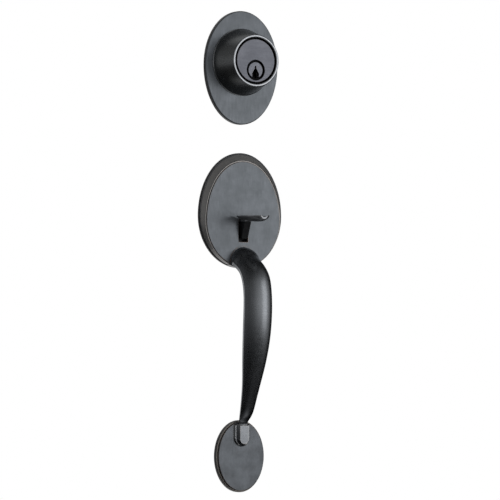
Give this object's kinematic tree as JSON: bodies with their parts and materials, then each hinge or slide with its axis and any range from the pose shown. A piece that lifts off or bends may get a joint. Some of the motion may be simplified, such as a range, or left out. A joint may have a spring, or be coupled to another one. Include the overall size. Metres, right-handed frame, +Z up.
{
  "type": "entry door handleset",
  "caption": "Door handleset: key cylinder over a thumb-latch plate, bowed pull grip and foot rosette, with turning plug, sprung thumb lever and coupled spindle.",
  "frame": {"origin": "centre of the latch bore on the door's outer face", "axes": "+X to the right seen from outside, +Y into the door, +Z up"},
  "size_m": [0.0886, 0.1136, 0.4529],
  "materials": {
    "bronze_plate": "satin oil-rubbed bronze, dark at the edges",
    "bronze_grip": "satin oil-rubbed bronze, rubbed on the crest",
    "bronze_collar": "semi-gloss dark bronze",
    "bronze_cylinder": "dark bronze with fine lines across the face",
    "bronze_plug": "dark bronze, turned face",
    "dark_steel": "black oxide screws, pin and pressed case",
    "bright_steel": "zinc plated sheet and bar",
    "spring_steel": "drawn wire",
    "raw_brass": "turned brass",
    "cast_zinc": "cast and plated"
  },
  "bodies": {
    "door_side": {"deadbolt_plate": "bronze_plate", "deadbolt_collar": "bronze_collar", "cylinder_body": "bronze_cylinder", "driver_pins": "raw_brass", "pin_springs": "spring_steel", "chamber_cover": "raw_brass", "handle_plate": "bronze_plate", "grip": "bronze_grip", "grip_screws": "dark_steel", "thumb_pivot_pin": "dark_steel", "return_spring": "spring_steel", "mechanism_case": "dark_steel", "case_screws": "dark_steel", "mounting_posts": "cast_zinc", "rosette": "bronze_plate", "foot_post": "cast_zinc"},
    "thumb": {"thumb_piece": "bronze_grip"},
    "spindle_set": {"spindle_cam": "cast_zinc", "spindle": "bright_steel", "spindle_clip": "spring_steel"},
    "plug": {"key_plug": "bronze_plug", "key_pins": "raw_brass", "plug_cap": "raw_brass", "tailpiece": "bright_steel"}
  },
  "joints": [
    {"name": "thumb_press", "type": "hinge", "parent": "door_side", "child": "thumb", "pos_m": [0, -0.003, -0.014], "axis": [1, 0, 0], "range_deg": [0, 20], "stiffness_Nm_per_rad": 0.4, "springref_deg": -20.05},
    {"name": "spindle_turn", "type": "hinge", "parent": "door_side", "child": "spindle_set", "pos_m": [0, 0.012, 0], "axis": [0, 1, 0], "range_deg": [0, 27], "deforming": ["return_spring"]},
    {"name": "key_turn", "type": "hinge", "parent": "door_side", "child": "plug", "pos_m": [0, -0.02, 0.1308], "axis": [0, 1, 0], "range_deg": [-90, 90]}
  ],
  "couplings": [
    {"joint": "spindle_turn", "follows": "thumb_press", "ratio": 1.33}
  ]
}
